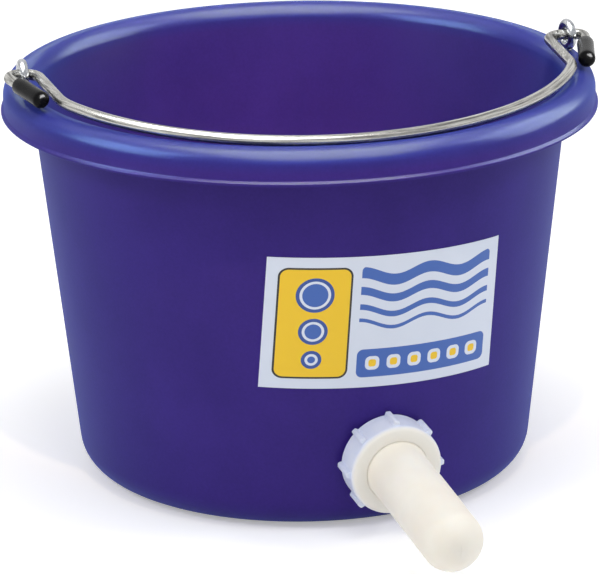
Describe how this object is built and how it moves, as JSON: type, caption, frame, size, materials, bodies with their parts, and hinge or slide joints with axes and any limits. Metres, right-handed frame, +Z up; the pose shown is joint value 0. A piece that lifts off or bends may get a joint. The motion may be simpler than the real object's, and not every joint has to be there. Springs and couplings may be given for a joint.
{
  "type": "calf feeder bucket",
  "caption": "Tapered round plastic bucket with a rolled rim, a wire bail swinging in eye bolts, and a rubber nipple on a screw collar and check valve low in its wall, for feeding calves.",
  "frame": {"origin": "centre of the flat base, on the floor", "axes": "+Z up along the bucket's axis, X along the bail's hinge line with +X at the right eye, -Y to the front where the bail rests and the nipple points"},
  "size_m": [0.2846, 0.3462, 0.2081],
  "materials": {
    "blue_plastic": "satin moulded polyethylene",
    "zinc_steel": "bright zinc plate",
    "bright_wire": "bright drawn and plated wire",
    "black_vinyl": "glossy dipped vinyl",
    "white_plastic": "natural moulded plastic",
    "black_rubber": "soft sheet rubber",
    "clear_plastic": "half-clear natural polyethylene",
    "cream_rubber": "smooth moulded rubber",
    "label_film": "printed gloss label"
  },
  "bodies": {
    "bucket": {"bucket_shell": "blue_plastic", "left_eye_bolt": "zinc_steel", "right_eye_bolt": "zinc_steel", "left_eye_washer": "zinc_steel", "right_eye_washer": "zinc_steel", "left_eye_nut": "zinc_steel", "right_eye_nut": "zinc_steel", "spout_body": "white_plastic", "spout_gasket": "black_rubber", "ball_retainer": "white_plastic", "front_label": "label_film"},
    "bail": {"bail_wire_bow": "bright_wire", "left_tip_cap": "black_vinyl", "right_tip_cap": "black_vinyl"},
    "valve": {"valve_ball": "white_plastic"},
    "teat": {"nipple": "cream_rubber"},
    "collar": {"collar_nut": "clear_plastic"}
  },
  "joints": [
    {"name": "bail_swing", "type": "hinge", "parent": "bucket", "child": "bail", "pos_m": [0, 0, 0.2006], "axis": [-1, 0, 0], "range_deg": [0, 186.04]},
    {"name": "ball_lift", "type": "slide", "parent": "bucket", "child": "valve", "axis": [0.1177, -0.9871, -0.1089], "range_m": [-0.0035, 0]},
    {"name": "nipple_draw", "type": "slide", "parent": "bucket", "child": "teat", "axis": [0.1177, -0.9871, -0.1089], "range_m": [0, 0.0101]},
    {"name": "collar_spin", "type": "hinge", "parent": "teat", "child": "collar", "pos_m": [0.01318, -0.11054, 0.0348], "axis": [0.1177, -0.9871, -0.1089], "range_deg": [0, 900]}
  ],
  "couplings": [
    {"joint": "nipple_draw", "follows": "collar_spin", "m_per_rad": 0.00063662}
  ]
}
